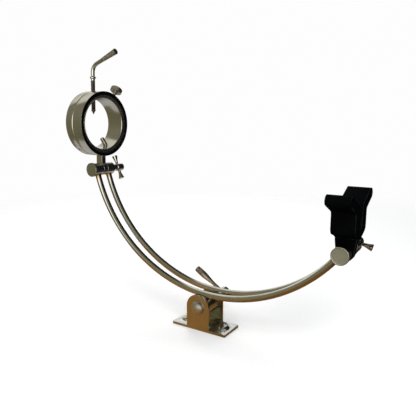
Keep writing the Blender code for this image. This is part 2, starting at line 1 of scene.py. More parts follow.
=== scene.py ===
"""Looks of the table-mounted ham stand: finished steel, black nylon, threads, knurls and welds.

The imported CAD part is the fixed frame. Lengths are millimetres until piece() writes a mesh in
metres; the stage is in metres throughout.
"""
import math

import bmesh
import bpy
from mathutils import Matrix, Vector, noise


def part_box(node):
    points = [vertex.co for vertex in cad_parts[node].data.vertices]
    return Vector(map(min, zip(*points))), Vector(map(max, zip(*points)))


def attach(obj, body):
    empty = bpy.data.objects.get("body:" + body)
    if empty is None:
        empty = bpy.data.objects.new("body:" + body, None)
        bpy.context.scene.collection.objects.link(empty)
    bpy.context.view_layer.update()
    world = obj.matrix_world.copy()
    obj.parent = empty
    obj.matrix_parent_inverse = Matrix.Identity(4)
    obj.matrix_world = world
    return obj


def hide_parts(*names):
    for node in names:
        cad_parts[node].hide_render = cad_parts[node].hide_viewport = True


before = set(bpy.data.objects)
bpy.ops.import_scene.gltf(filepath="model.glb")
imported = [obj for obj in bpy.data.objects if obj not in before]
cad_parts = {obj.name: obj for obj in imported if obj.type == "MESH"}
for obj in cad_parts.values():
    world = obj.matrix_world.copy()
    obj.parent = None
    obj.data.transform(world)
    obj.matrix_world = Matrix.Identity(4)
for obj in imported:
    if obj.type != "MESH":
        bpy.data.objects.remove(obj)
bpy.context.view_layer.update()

MM = 0.001
GAP = 0.3
TAU = 2 * math.pi

# Sizes shared with the CAD part
ARC_RADIUS = 250.0
ROD_RADIUS = 5.0
ROD_PITCH = 26.0
KNUCKLE_RADIUS = 11.0
KNUCKLE_OUTER = 22.0
KNUCKLE_INNER = 5.0
WASHER_END = 23.9
RIGHT_SPACER_END = 45.0
HEAD_LEAN = 2.0
RING_CENTRE = 80.1
RING_FRONT = 10.0
RING_REAR = -27.6
RING_SEAM = -11.2
RING_RADIUS = 56.2
RING_GROOVE = 0.8
SLEEVE_INNER = 44.2
SLEEVE_OUTER = 50.0
BAND_INNER = 52.4
SPIKE_X = -19.2
SPIKE_TIP = 15.6
SPIKE_TOP = 74.0
HANDLE_BEND = 99.0
HANDLE_SLOPE = 22.0
HANDLE_REACH = 60.0
PIN_ANGLE = 144.0
THUMB_X = 0.4
THUMB_ANGLE = 32.0
THUMB_KNOB_START = 66.5
LEVER_ANGLE = 30.0
LEVER_REACH = 66.0
LEVER_ARM_Y = 58.0
LEVER_HUB_END = 67.0
PLATE_LENGTH = 100.0
PLATE_WIDTH = 45.0
SHEET = 4.0
EAR_HALF = 21.0
BASE_SCREW_X = 36.0
SCREW_HEAD = 8.7
PIVOT_BORE = 5.3
DOME_RADIUS = 10.9
DOME_HEIGHT = 5.5
TUBE_HALF = 18.2
TUBE_RADIUS = 16.7
HINGE_BORE = 4.3
TONGUE_HALF = 4.7
NECK_REAR = 9.0
NECK_FRONT = 4.6
DISC_RADIUS = 12.3
KNOB_RADIUS = 7.0
WING_REACH = 22.0
LEFT_KNOB_Y = 41.0
RIGHT_KNOB_Y = 61.5
LEFT_WING_ANGLE = 112.0
RIGHT_WING_ANGLE = -15.0
THUMB_KNOB_RADIUS = 10.5
HANDLE_RADIUS = 3.4
HANDLE_CURVE = 16.0

# Points closer than this are one point
SAME_POINT = 0.001

# Stage, in metres
FLOOR_RADIUS = 1.8
LAMP_AIM = (0.0, 0.0, 0.15)
CAMERA_PLACE = (0.37786, -0.58488, 0.32103)
CAMERA_VIEW = (-0.52867, 0.83029, -0.17645)
CAMERA_LENS = 38.94
CAMERA_SENSOR = 36.0


def centre_of(node):
    """Middle of a CAD node's box, in millimetres."""
    low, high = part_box(node)
    return (low + high) / 2 / MM


LEFT = Vector((centre_of("left_knuckle_front").x, 0.0, centre_of("left_knuckle_front").z))
RIGHT = Vector((centre_of("right_knuckle_front").x, 0.0, centre_of("right_knuckle_front").z))
PIVOT = Vector((0.0, 0.0, centre_of("pivot_tube").z))
ARC_CENTRE = Vector((20.2, 0.0, 309.3))


# ---------------------------------------------------------------- placing
def at(point):
    return Matrix.Translation(Vector(point))


def pointing(axis, point=(0.0, 0.0, 0.0)):
    """Place that turns local Z to an axis, then moves to a point."""
    turn = Vector((0.0, 0.0, 1.0)).rotation_difference(Vector(axis).normalized())
    return at(point) @ turn.to_matrix().to_4x4()


def along_y(point=(0.0, 0.0, 0.0)):
    return pointing((0.0, 1.0, 0.0), point)


HEAD = at(LEFT) @ Matrix.Rotation(math.radians(HEAD_LEAN), 4, "Y")
RING = HEAD @ at((0.0, 0.0, RING_CENTRE))
RING_AXIS = RING @ pointing((1.0, 0.0, 0.0))


def radial(x, angle):
    """Place whose Z points away from the ring's axis; angle runs from the top towards +Y."""
    turn = math.radians(angle)
    return RING @ pointing((0.0, math.sin(turn), math.cos(turn)), (x, 0.0, 0.0))


# ---------------------------------------------------------------- mesh tools
def rounded(points, radius, steps, closed=False):
    """Round the corners of a flat outline; a point may carry its own radius as a third value."""
    result = []
    count = len(points)
    for i, point in enumerate(points):
        corner = Vector(point[:2])
        size = point[2] if len(point) > 2 else radius
        if size == 0.0 or (not closed and i in (0, count - 1)):
            result.append(tuple(corner))
            continue
        before = Vector(points[i - 1][:2]) - corner
        after = Vector(points[(i + 1) % count][:2]) - corner
        reach = min(size, before.length * 0.45, after.length * 0.45)
        start = corner + before.normalized() * reach
        end = corner + after.normalized() * reach
        for k in range(steps + 1):
            t = k / steps
            result.append(tuple(start * (1 - t) ** 2 + corner * 2 * t * (1 - t) + end * t * t))
    return result


def dense(points, step):
    """Add points so that no stretch of the outline is longer than step."""
    result = [points[0]]
    for a, b in zip(points, points[1:]):
        parts = max(1, math.ceil(math.dist(a, b) / step))
        for k in range(1, parts + 1):
            t = k / parts
            result.append((a[0] + (b[0] - a[0]) * t, a[1] + (b[1] - a[1]) * t))
    return result


def bridge(bm, low, high):
    """Faces between two loops of points; either may be a single point."""
    count = max(len(low), len(high))
    for k in range(count):
        corners = [low[k % len(low)], low[(k + 1) % len(low)]]
        corners += [high[(k + 1) % len(high)], high[k % len(high)]]
        bm.faces.new(list(dict.fromkeys(corners)))


def lathe(profile, segments, hollow=False, relief=None):
    """Revolve (along, radius) points about local Z; relief(along, turn, radius) gives the final radius."""
    bm = bmesh.new()
    rings = []
    for along, radius in profile:
        if radius == 0.0:
            rings.append([bm.verts.new((0.0, 0.0, along))])
            continue
        ring = []
        for k in range(segments):
            turn = TAU * k / segments
            r = relief(along, turn, radius) if relief else radius
            ring.append(bm.verts.new((r * math.cos(turn), r * math.sin(turn), along)))
        rings.append(ring)
    pairs = list(zip(rings, rings[1:]))
    if hollow:
        pairs.append((rings[-1], rings[0]))
    for low, high in pairs:
        bridge(bm, low, high)
    if not hollow:
        for ring in (rings[0], rings[-1]):
            if len(ring) > 1:
                bm.faces.new(ring)
    return bm


def sweep(points, radii, sides, closed=False):
    """Round bar through points in space, with a radius at each."""
    bm = bmesh.new()
    layer = bm.verts.layers.float_vector.new("local")
    count = len(points)
    points = [Vector(p) for p in points]
    across = None
    rings = []
    travelled = 0.0
    for i, point in enumerate(points):
        before = points[i - 1] if i or closed else point
        after = points[(i + 1) % count] if closed or i + 1 < count else point
        tangent = (after - before).normalized()
        if across is None:
            across = tangent.orthogonal().normalized()
        across = (across - tangent * across.dot(tangent)).normalized()
        other = tangent.cross(across)
        travelled += (point - before).length if i else 0.0
        ring = []
        for k in range(sides):
            turn = TAU * k / sides
            x, y = radii[i] * math.cos(turn), radii[i] * math.sin(turn)
            vert = bm.verts.new(point + across * x + other * y)
            vert[layer] = Vector((x, y, travelled))
            ring.append(vert)
        rings.append(ring)
    pairs = list(zip(rings, rings[1:]))
    if closed:
        gaps = [(rings[-1][0].co - vert.co).length for vert in rings[0]]
        shift = gaps.index(min(gaps))
        pairs.append((rings[-1], rings[0][shift:] + rings[0][:shift]))
    for low, high in pairs:
        bridge(bm, low, high)
    if not closed:
        bm.faces.new(rings[0])
        bm.faces.new(rings[-1])
    return bm


def prism(outline, low, high, axis):
    """Extrude a flat outline along X, Y or Z; the outline's points are the other two axes."""
    bm = bmesh.new()
    loops = []
    for level in (low, high):
        loop = []
        for point in outline:
            spot = list(point[:2])
            spot.insert("XYZ".index(axis), level)
            loop.append(bm.verts.new(spot))
        loops.append(loop)
    bridge(bm, *loops)
    for loop in loops:
        bm.faces.new(loop)
    bmesh.ops.recalc_face_normals(bm, faces=bm.faces)
    return bm


def oval(centre, across, up, start, end, steps):
    """Points on an ellipse from one angle to another, in degrees."""
    turns = [math.radians(start + (end - start) * i / steps) for i in range(steps + 1)]
    return [(centre[0] + across * math.cos(t), centre[1] + up * math.sin(t)) for t in turns]


def arc(centre, radius, start, end, steps):
    """Points on a circle from one angle to another, in degrees."""
    return oval(centre, radius, radius, start, end, steps)


def sleeve(low, high, inner, outer, edge, steps, segments):
    """Plain round sleeve along local Z with rounded edges."""
    profile = [(low, inner), (low, outer), (high, outer), (high, inner)]
    return lathe(rounded(profile, edge, steps, True), segments, True)


def drill(radius, low, high, place, segments=40):
    """Round cutting tool along a place's Z."""
    bm = lathe([(low, radius), (high, radius)], segments)
    bmesh.ops.transform(bm, matrix=place, verts=bm.verts)
    return bm


def combine(bm, tools, operation="DIFFERENCE"):
    """Exact boolean of a solid with each of the tool solids."""
    for tool in tools:
        objects = []
        for part in (bm, tool):
            bmesh.ops.recalc_face_normals(part, faces=part.faces)
            mesh = bpy.data.meshes.new("solid")
            part.to_mesh(mesh)
            part.free()
            objects.append(bpy.data.objects.new("solid", mesh))
            bpy.context.scene.collection.objects.link(objects[-1])
        modifier = objects[0].modifiers.new("cut", "BOOLEAN")
        modifier.operation = operation
        modifier.solver = "EXACT"
        modifier.object = objects[1]
        bpy.context.view_layer.update()
        shown = objects[0].evaluated_get(bpy.context.evaluated_depsgraph_get())
        bm = bmesh.new()
        bm.from_mesh(shown.to_mesh())
        shown.to_mesh_clear()
        bmesh.ops.remove_doubles(bm, verts=bm.verts, dist=SAME_POINT)
        for obj in objects:
            mesh = obj.data
            bpy.data.objects.remove(obj)
            bpy.data.meshes.remove(mesh)
    return bm


def softened(bm, width, steps, limit=30.0):
    """Round off every edge sharper than the limit."""
    bmesh.ops.remove_doubles(bm, verts=bm.verts, dist=2 * SAME_POINT)
    flat = math.radians(limit)
    edges = [e for e in bm.edges if len(e.link_faces) == 2 and e.calc_face_angle(0.0) > flat]
    bmesh.ops.bevel(bm, geom=edges, offset=width, segments=steps, profile=0.5, affect="EDGES",
                    clamp_overlap=True)
    bmesh.ops.remove_doubles(bm, verts=bm.verts, dist=SAME_POINT)
    return bm


def piece(name, bm, material, body, place=None, stands_for=(), sharp=34.0):
    """Write a solid as a visible piece in metres that rides on a CAD body."""
    place = place or Matrix.Identity(4)
    bmesh.ops.recalc_face_normals(bm, faces=bm.faces)
    layer = bm.verts.layers.float_vector.get("local")
    if layer is None:
        layer = bm.verts.layers.float_vector.new("local")
        for vert in bm.verts:
            vert[layer] = vert.co
    bmesh.ops.transform(bm, matrix=Matrix.Scale(MM, 4) @ place, verts=bm.verts)
    mesh = bpy.data.meshes.new(name)
    bm.to_mesh(mesh)
    bm.free()
    mesh.materials.append(material)
    mesh.shade_smooth()
    mesh.set_sharp_from_angle(angle=math.radians(sharp))
    obj = bpy.data.objects.new(name, mesh)
    bpy.context.scene.collection.objects.link(obj)
    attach(obj, body)
    if stands_for:
        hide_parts(*stands_for)


# ---------------------------------------------------------------- materials
class Look:
    """Nodes of a material or world; sockets and plain values are both accepted as inputs."""

    def __init__(self, owner):
        owner.use_nodes = True
        self.owner = owner
        self.tree = owner.node_tree

    def set(self, node, inputs):
        for key, value in inputs.items():
            if isinstance(value, bpy.types.NodeSocket):
                self.tree.links.new(value, node.inputs[key])
            else:
                node.inputs[key].default_value = value

    def add(self, kind, inputs=None, **settings):
        node = self.tree.nodes.new("ShaderNode" + kind)
        for key, value in settings.items():
            setattr(node, key, value)
        self.set(node, inputs or {})
        return node

    def math(self, operation, *values, clamp=False):
        node = self.add("Math", dict(enumerate(values)), operation=operation)
        node.use_clamp = clamp
        return node.outputs[0]

    def noise(self, vector, scale, detail=3.0):
        return self.add("TexNoise", {"Vector": vector, "Scale": scale, "Detail": detail}).outputs["Fac"]

    def ramp(self, value, low, high, start=0.0, end=1.0):
        inputs = {"Value": value, "From Min": low, "From Max": high, "To Min": start, "To Max": end}
        return self.add("MapRange", inputs, interpolation_type="SMOOTHSTEP").outputs[0]

    def blend(self, factor, first, second):
        node = self.add("Mix", data_type="RGBA")
        self.set(node, {0: factor, 6: first, 7: second})
        return node.outputs[2]

    def band(self, value, low, high, soft):
        """One between low and high, fading to nothing over soft on both sides."""
        rise = self.ramp(value, low - soft, low + soft)
        return self.math("MULTIPLY", rise, self.ramp(value, high - soft, high + soft, 1.0, 0.0))

    def local(self):
        """The piece's own coordinates in millimetres; turned pieces have their axis on Z."""
        return self.add("Attribute", attribute_name="local").outputs["Vector"]

    def split(self, vector):
        return self.add("SeparateXYZ", {"Vector": vector}).outputs

    def finish(self, inputs):
        """Feed the material's shader and hand the material back."""
        self.set(self.tree.nodes["Principled BSDF"], inputs)
        return self.owner


def grain_vector(look, style):
    """Coordinates stretched along the finish's direction."""
    local = look.local()
    if style == "plain":
        return local
    parts = look.split(local)
    if style == "turned":
        turn = look.math("MULTIPLY", look.math("ARCTAN2", parts[1], parts[0]), 0.6)
        squares = [look.math("MULTIPLY", part, part) for part in parts[:2]]
        radius = look.math("SQRT", look.math("ADD", *squares))
        return look.add("CombineXYZ", {0: turn, 1: radius, 2: parts[2]}).outputs[0]
    order = {"along_x": (0.03, 1.0, 1.0), "along_z": (1.0, 1.0, 0.03)}[style]
    scaled = [look.math("MULTIPLY", parts[i], order[i]) for i in range(3)]
    return look.add("CombineXYZ", dict(enumerate(scaled))).outputs[0]


def steel(name, colour, roughness, style, grain, depth, spread, aniso=0.0, heat=None, blotch=0.4,
          painted_light_area=None):
    """Steel with a directional finish, handling smudges, tiny scratches and an uneven tone.

    heat is the length of a rod that is browned at both ends; the last argument is the half length and half
    width of the area between the bracket's ears, which gets painted shade, and past which the plate's top
    gets a painted reflection.
    """
    look = Look(bpy.data.materials.new(name))
    local = look.local()
    lines = look.noise(grain_vector(look, style), grain, 5.0)
    smudge = look.noise(local, 0.09, 4.0)
    fine = look.noise(local, 2.3, 2.0)
    scratch = look.add("TexVoronoi", {"Vector": grain_vector(look, style), "Scale": grain * 0.35},
                       feature="DISTANCE_TO_EDGE").outputs["Distance"]
    marks = look.ramp(scratch, 0.0, 0.05, 1.0, 0.0)
    rough = look.math("ADD", roughness, look.math("MULTIPLY", look.math("SUBTRACT", lines, 0.5), spread * 2))
    rough = look.math("ADD", rough, look.ramp(smudge, 0.5, 0.72, 0.0, spread))
    rough = look.math("ADD", rough, look.math("MULTIPLY", marks, spread * 0.6), clamp=True)
    darker = tuple(c * 0.80 for c in colour) + (1.0,)
    tone = look.blend(look.ramp(smudge, 0.35, 0.7, 0.0, blotch), colour + (1.0,), darker)
    tone = look.blend(look.ramp(lines, 0.35, 0.75, 0.0, 0.22), tone, darker)
    if heat:
        tone = look.blend(look.ramp(heat_distance(look, heat), 2.5, 9.0, 0.85, 0.0), tone, HEAT_BROWN)
    # Painted shade between the bracket's ears and a painted reflection on the plate's open ends
    if painted_light_area:
        tone = bracket_painted_light(look, tone, *painted_light_area)
    height = look.math("ADD", lines, look.math("MULTIPLY", fine, 0.25))
    bump = look.add("Bump", {"Strength": depth, "Distance": 0.00004, "Height": height}).outputs[0]
    inputs = {"Base Color": tone, "Metallic": 1.0, "Roughness": rough, "Normal": bump}
    if aniso:
        inputs["Anisotropic"] = aniso
        tangent = look.add("Tangent", direction_type="RADIAL", axis="X")
        inputs["Tangent"] = tangent.outputs[0]
    return look.finish(inputs)


def heat_distance(look, length):
    """Distance in millimetres from the nearer end of a rod of the given length."""
    along = look.split(look.local())[2]
    return look.math("MINIMUM", along, look.math("SUBTRACT", length, along))


def bracket_painted_light(look, tone, length, width):
    """Painted shade in olive above the sheet between the ears, and a painted reflection in a near-white tone
    on the top of the plate's open ends.
    """
    parts = look.split(look.local())
    # Where the painted shade goes: above the sheet, between the ears
    painted_shade = look.math("MULTIPLY", look.band(parts[0], -length, length, 0.6),
                       look.band(parts[1], -width, width, 0.1))
    painted_shade = look.math("MULTIPLY", painted_shade, look.ramp(parts[2], SHEET + 0.1, SHEET + 0.5))
    tone = look.blend(painted_shade, tone, PAINTED_SHADE_OLIVE)
    # Painted reflection: the top of the plate beyond the ears is made near-white
    ends = look.ramp(look.math("ABSOLUTE", parts[0]), length, length + 1.0)
    ends = look.math("MULTIPLY", ends, look.band(parts[2], SHEET - 0.2, SHEET + 0.2, 0.1))
    return look.blend(ends, tone, PAINTED_REFLECTION_PALE)


def nylon(name, colour, roughness, grain, depth, shine):
    """Moulded black plastic with a fine texture, scuffs, and edges paler in patches: part edge wear, part
    painted highlight.
    """
    look = Look(bpy.data.materials.new(name))
    local = look.local()
    texture = look.noise(local, grain, 4.0)
    cloud = look.noise(local, 0.06, 3.0)
    bevel = look.add("Bevel", {"Radius": 0.0009}, samples=4).outputs[0]
    normal = look.add("NewGeometry").outputs["Normal"]
    facing = look.add("VectorMath", {0: bevel, 1: normal}, operation="DOT_PRODUCT").outputs["Value"]
    # Edges found from the bevel normal, broken into patches: where the painted highlight and wear go
    edge = look.math("MULTIPLY", look.ramp(facing, 0.93, 0.995, 1.0, 0.0), look.ramp(cloud, 0.35, 0.6))
    base = colour + (1.0,)
    # Paler tone for the edges: edge wear with a painted highlight
    edge_highlight_tone = tuple(c * 4.5 + 0.06 for c in colour) + (1.0,)
    tone = look.blend(look.ramp(cloud, 0.4, 0.7, 0.0, 0.5), base, tuple(c * 1.8 for c in colour) + (1.0,))
    # Painted highlight on the edges, mixed with edge wear
    tone = look.blend(look.math("MULTIPLY", edge, 0.5), tone, edge_highlight_tone)
    rough = look.math("ADD", roughness, look.math("MULTIPLY", look.math("SUBTRACT", texture, 0.5), 0.18))
    rough = look.math("ADD", rough, look.ramp(cloud, 0.45, 0.7, -0.06, 0.06), clamp=True)
    bump = look.add("Bump", {"Strength": depth, "Distance": 0.00006, "Height": texture}).outputs[0]
    inputs = {"Base Color": tone, "Roughness": rough, "Normal": bump, "Specular IOR Level": shine}
    return look.finish(inputs)


BRIGHT = (0.74, 0.72, 0.65)
SHEET_TONE = (0.66, 0.64, 0.57)
HEAT_BROWN = (0.55, 0.33, 0.12, 1.0)
# Painted shade between the bracket's ears
PAINTED_SHADE_OLIVE = (0.41, 0.39, 0.28, 1.0)
# Painted reflection on the plate's top beyond the ears
PAINTED_REFLECTION_PALE = (0.80, 0.83, 0.84, 1.0)

POLISHED = steel("polished_steel_finish", BRIGHT, 0.07, "along_z", 3.0, 0.05, 0.035)
POLISHED_TURNED = steel("turned_polished_steel", BRIGHT, 0.09, "turned", 5.0, 0.10, 0.04)
KNURLED = steel("knurled_steel", (0.50, 0.47, 0.37), 0.27, "turned", 6.0, 0.2, 0.06)
DOME_STEEL = steel("turned_dome_steel", SHEET_TONE, 0.43, "turned", 5.0, 0.12, 0.05)
SATIN_TURNED = steel("turned_satin_steel", (0.66, 0.64, 0.55), 0.30, "turned", 7.0, 0.35, 0.09)
BRUSHED_BAND = steel("brushed_band_steel", (0.68, 0.66, 0.58), 0.19, "turned", 9.0, 0.16, 0.04,
                     aniso=0.5, blotch=0.15)
# The bracket's steel gets painted shade between its ears and a painted reflection on the plate's ends
BRACKET = steel("bracket_sheet_steel", SHEET_TONE, 0.20, "along_x", 5.0, 0.14, 0.035, blotch=0.3,
                painted_light_area=(EAR_HALF + 0.5, PLATE_WIDTH / 2 - SHEET + 0.4))
SATIN_FLAT = steel("satin_sheet_steel", SHEET_TONE, 0.10, "along_x", 5.0, 0.14, 0.035, blotch=0.3)
DARK_THREAD = steel("dark_thread_steel", (0.22, 0.20, 0.16), 0.34, "plain", 5.0, 0.3, 0.10)
WELD = steel("weld_bead_steel", (0.50, 0.42, 0.30), 0.30, "plain", 1.6, 0.5, 0.12)
BLACK = nylon("black_nylon_finish", (0.0012, 0.0014, 0.0016), 0.60, 1.6, 0.25, 0.012)
BLACK_GLOSS = nylon("black_seal_finish", (0.0012, 0.0012, 0.0014), 0.38, 2.4, 0.02, 0.02)


# ---------------------------------------------------------------- reliefs
def knurl(pitch, depth, low, high, count, least=0.0):
    """Diamond knurl between two heights, fading out at both ends; radii up to least stay smooth."""
    def relief(along, turn, radius):
        fade = max(0.0, min(1.0, (along - low) / pitch, (high - along) / pitch))
        if fade == 0.0 or radius <= least:
            return radius
        around = turn * count / TAU
        a = abs((around + along / pitch) % 1.0 - 0.5)
        b = abs((around - along / pitch) % 1.0 - 0.5)
        return radius - depth * fade * (1.0 - min(1.0, 4 * min(a, b)))
    return relief


def thread(pitch, depth, low, high):
    """Helical thread between two heights, running out at both ends."""
    def relief(along, turn, radius):
        fade = max(0.0, min(1.0, (along - low) / pitch, (high - along) / pitch))
        wave = abs((along / pitch - turn / TAU) % 1.0 - 0.5) * 2
        return radius - depth * fade * min(1.0, wave * 1.25)
    return relief


# ---------------------------------------------------------------- base
def fold_outline(side):
    """Hollow corner left by the bend between the plate and one ear, in the YZ plane."""
    inner, size = PLATE_WIDTH / 2 - SHEET, 3.6
    points = [(inner + 0.5, SHEET - 0.5), (inner - size, SHEET - 0.5)]
    points += arc((inner - size, SHEET + size), size, -90.0, 0.0, 10) + [(inner + 0.5, SHEET + size)]
    return [(side * y, z) for y, z in points]


def build_base():
    """Folded bracket: plate with two round-topped ears, pivot holes and screw holes."""
    half = EAR_HALF
    ears = []
    for side in (-1, 1):
        low, high = sorted((side * PLATE_WIDTH / 2, side * (PLATE_WIDTH / 2 - SHEET)))
        outline = [(-half, 0.4), (half, 0.4)] + arc((0.0, PIVOT.z), half, 0.0, 180.0, 48)
        ears.append(prism(outline, low, high, "Y"))
        ears.append(prism(fold_outline(side), -half + 0.02, half - 0.02, "X"))
    x, y = PLATE_LENGTH / 2, PLATE_WIDTH / 2
    plate = prism(rounded([(x, y), (-x, y), (-x, -y), (x, -y)], 1.6, 6, closed=True), 0.0, SHEET, "Z")
    bracket = combine(plate, ears, "UNION")
    holes = [drill(PIVOT_BORE, -40.0, 40.0, along_y(PIVOT))]
    holes += [drill(2.8, -1.0, SHEET + 1.0, at((side * BASE_SCREW_X, 0.0, 0.0)), 32) for side in (-1, 1)]
    bracket = softened(combine(bracket, holes), 0.4, 3)
    piece("bracket", bracket, BRACKET, "base", stands_for=["base_bracket"], sharp=40.0)
    for name, side, turn in (("ring_side", -1, 20.0), ("cradle_side", 1, 52.0)):
        build_screw(name, side * BASE_SCREW_X, turn)


def build_screw(name, x, turn):
    """Pan-head screw with a tapered cross recess and a rolled edge."""
    seat = SHEET + 0.02
    profile = [(GAP, 0.0), (GAP, 2.4), (seat, 2.4), (seat, SCREW_HEAD, 0.3), (seat + 1.0, SCREW_HEAD)]
    profile += [(seat + 2.4, 7.3, 1.6), (seat + 3.5, 4.4, 2.2), (seat + 3.9, 0.0)]
    head = lathe(rounded(profile, 0.6, 5), 88)
    slots = []
    for angle in (turn, turn + 90.0):
        bm = prism([(-3.9, -0.6), (3.9, -0.6), (3.9, 0.6), (-3.9, 0.6)], seat + 1.8, seat + 5.0, "Z")
        for vert in bm.verts:
            if vert.co.z < seat + 2.2:
                vert.co.x *= 0.55
                vert.co.y *= 0.7
        bmesh.ops.rotate(bm, matrix=Matrix.Rotation(math.radians(angle), 3, "Z"), verts=bm.verts)
        slots.append(bm)
    head = combine(head, slots)
    piece("screw_" + name, head, POLISHED_TURNED, "base", at((x, 0.0, 0.0)),
          ["base_screw_" + name])


def build_pivot():
    """Dome-headed bolt, washer, welded tube and its two plastic bushes."""
    face = -(PLATE_WIDTH / 2 + GAP)
    turns = [math.pi / 2 * k / 18 for k in range(19)]
    profile = [(face - 1.5 - DOME_HEIGHT * math.cos(t), DOME_RADIUS * math.sin(t)) for t in turns]
    profile += [(face - 1.1, 11.2), (face - 0.2, 11.2), (face, 11.0), (face, 5.0), (50.0, 5.0), (50.0, 0.0)]
    piece("pivot_bolt_dome", lathe(profile, 96), DOME_STEEL, "base", along_y(PIVOT),
          ["pivot_bolt"])
    face = PLATE_WIDTH / 2 + GAP
    piece("pivot_washer_ring", sleeve(face, face + 2.0, PIVOT_BORE, 12.0, 0.35, 3, 72), SATIN_TURNED, "base",
          along_y(PIVOT), ["pivot_washer"])
    piece("pivot_tube_shell", sleeve(-TUBE_HALF, TUBE_HALF, 13.0, TUBE_RADIUS, 0.7, 4, 112), POLISHED_TURNED,
          "arc_frame", along_y(PIVOT), ["pivot_tube"])
    for name, side in (("front", -1), ("rear", 1)):
        low, high = sorted((side * TUBE_HALF, side * 7.2))
        piece("bush_" + name, sleeve(low, high, PIVOT_BORE, 12.7, 0.5, 3, 64), BLACK, "arc_frame",
              along_y(PIVOT), ["pivot_bush_" + name])


def build_lever():
    """Clamping lever: capped hub nut, an arm that swells towards its end and a knurled grip."""
    start, end, depth = PLATE_WIDTH / 2 + 2.0 + 2 * GAP, LEVER_HUB_END, 51.0
    turn = math.radians(LEVER_ANGLE)
    aim = Vector((-math.cos(turn), 0.06, math.sin(turn))).normalized()
    root = Vector((0.0, LEVER_ARM_Y, PIVOT.z))
    profile = [(depth, 0.0), (depth, PIVOT_BORE), (start, PIVOT_BORE), (start, 11.0), (start + 9.0, 11.0)]
    profile += [(start + 13.0, 9.2), (end - 1.5, 9.2, 1.6), (end, 6.0, 1.0), (end, 0.0)]
    hub = lathe(rounded(profile, 0.6, 4), 80)
    cut = drill(3.2, 5.6, 20.0, along_y().inverted() @ pointing(aim, (0.0, LEVER_ARM_Y, 0.0)), 32)
    piece("lever_hub_nut", combine(hub, [cut]), POLISHED_TURNED, "pivot_lever", along_y(PIVOT), ["lever_hub"])
    arm = [(6.2, 0.0), (6.2, 2.9), (26.0, 3.0, 8.0), (46.0, 5.5, 5.0), (51.7, 5.75, 0.6), (51.7, 0.0)]
    piece("lever_arm_bar", lathe(dense(rounded(arm, 0.3, 6), 1.5), 48), POLISHED, "pivot_lever",
          pointing(aim, root), ["lever_arm"])
    low, high = 52.0, LEVER_REACH
    grip = [(low, 0.0), (low, 5.7), (high - 0.2, 5.4, 0.9), (high, 0.0)]
    relief = knurl(1.15, 0.32, low + 1.0, high - 1.0, 26)
    piece("lever_grip_knurled", lathe(dense(rounded(grip, 0.4, 3), 0.17), 182, relief=relief), KNURLED,
          "pivot_lever", pointing(aim, root), ["lever_grip"], sharp=70.0)


# ---------------------------------------------------------------- arc
def rod_end(hinge, offset, reach, side):
    """Angle from straight down at which a line of the rod meets a round of the given reach."""
    out = hinge - ARC_CENTRE
    span = out.length
    line = ARC_RADIUS + offset
    away = math.acos((span ** 2 + line ** 2 - reach ** 2) / (2 * span * line))
    return math.atan2(out.x, -out.z) - side * away


def on_arc(angle, offset, y):
    """Point at an angle from straight down, the offset outside the rods' centre line."""
    line = ARC_RADIUS + offset
    return (ARC_CENTRE.x + line * math.sin(angle), y, ARC_CENTRE.z - line * math.cos(angle))


def build_rod(name, y):
    """Bent bar whose ends are coped to the knuckles."""
    bm = bmesh.new()
    layer = bm.verts.layers.float_vector.new("local")
    sides, steps = 44, 190
    rings = [[] for _ in range(steps + 1)]
    for k in range(sides):
        turn = TAU * k / sides
        offset, across = ROD_RADIUS * math.cos(turn), ROD_RADIUS * math.sin(turn)
        first = rod_end(LEFT, offset, KNUCKLE_RADIUS + 0.05, -1)
        last = rod_end(RIGHT, offset, KNUCKLE_RADIUS + 0.05, 1)
        for i in range(steps + 1):
            angle = first + (last - first) * i / steps
            vert = bm.verts.new(on_arc(angle, offset, y + across))
            vert[layer] = Vector((offset, across, (angle - first) * ARC_RADIUS))
            rings[i].append(vert)
    for low, high in zip(rings, rings[1:]):
        bridge(bm, low, high)
    bm.faces.new(rings[0])
    bm.faces.new(rings[-1])
    piece(name + "_bar", bm, ROD_STEEL, "arc_frame", stands_for=[name], sharp=50.0)


def weld_ring(name, hinge, y, side):
    """Rippled bead round the foot of a rod where it meets a knuckle."""
    count, spread = 72, ROD_RADIUS + 0.35
    points, radii = [], []
    for k in range(count):
        turn = TAU * k / count
        offset, across = spread * math.cos(turn), spread * math.sin(turn)
        points.append(on_arc(rod_end(hinge, offset, KNUCKLE_RADIUS + 0.4, side), offset, y + across))
        uneven = noise.noise(Vector((3 * math.cos(turn), 3 * math.sin(turn), y)))
        radii.append(0.75 + 0.13 * math.sin(12 * turn) + 0.12 * uneven)
    piece(name, sweep(points, radii, 12, closed=True), WELD, "arc_frame", sharp=80.0)


def weld_seam(name, y, lean):
    """Short bead along one side of a rod where it rests on the pivot tube."""
    count = 44
    points, radii = [], []
    for k in range(count + 1):
        t = k / count
        x = -8.5 + 17.0 * t
        tube_top = PIVOT.z + math.sqrt(TUBE_RADIUS ** 2 - x * x)
        swell = math.sin(math.pi * t) ** 0.5
        points.append((x, y + lean * 3.3, tube_top + 0.75))
        radii.append(max(0.12, 1.75 * swell + 0.16 * math.sin(16 * TAU * t) * swell))
    piece(name, sweep(points, radii, 14), WELD, "arc_frame", sharp=80.0)


def build_arc():
    """Both rods with the welds at their ends and on the pivot tube."""
    for name, y in (("front", -ROD_PITCH / 2), ("rear", ROD_PITCH / 2)):
        build_rod("rod_" + name, y)
        weld_ring(f"weld_left_{name}", LEFT, y, -1)
        weld_ring(f"weld_right_{name}", RIGHT, y, 1)
        weld_seam(f"weld_tube_{name}_a", y, -1)
        weld_seam(f"weld_tube_{name}_b", y, 1)


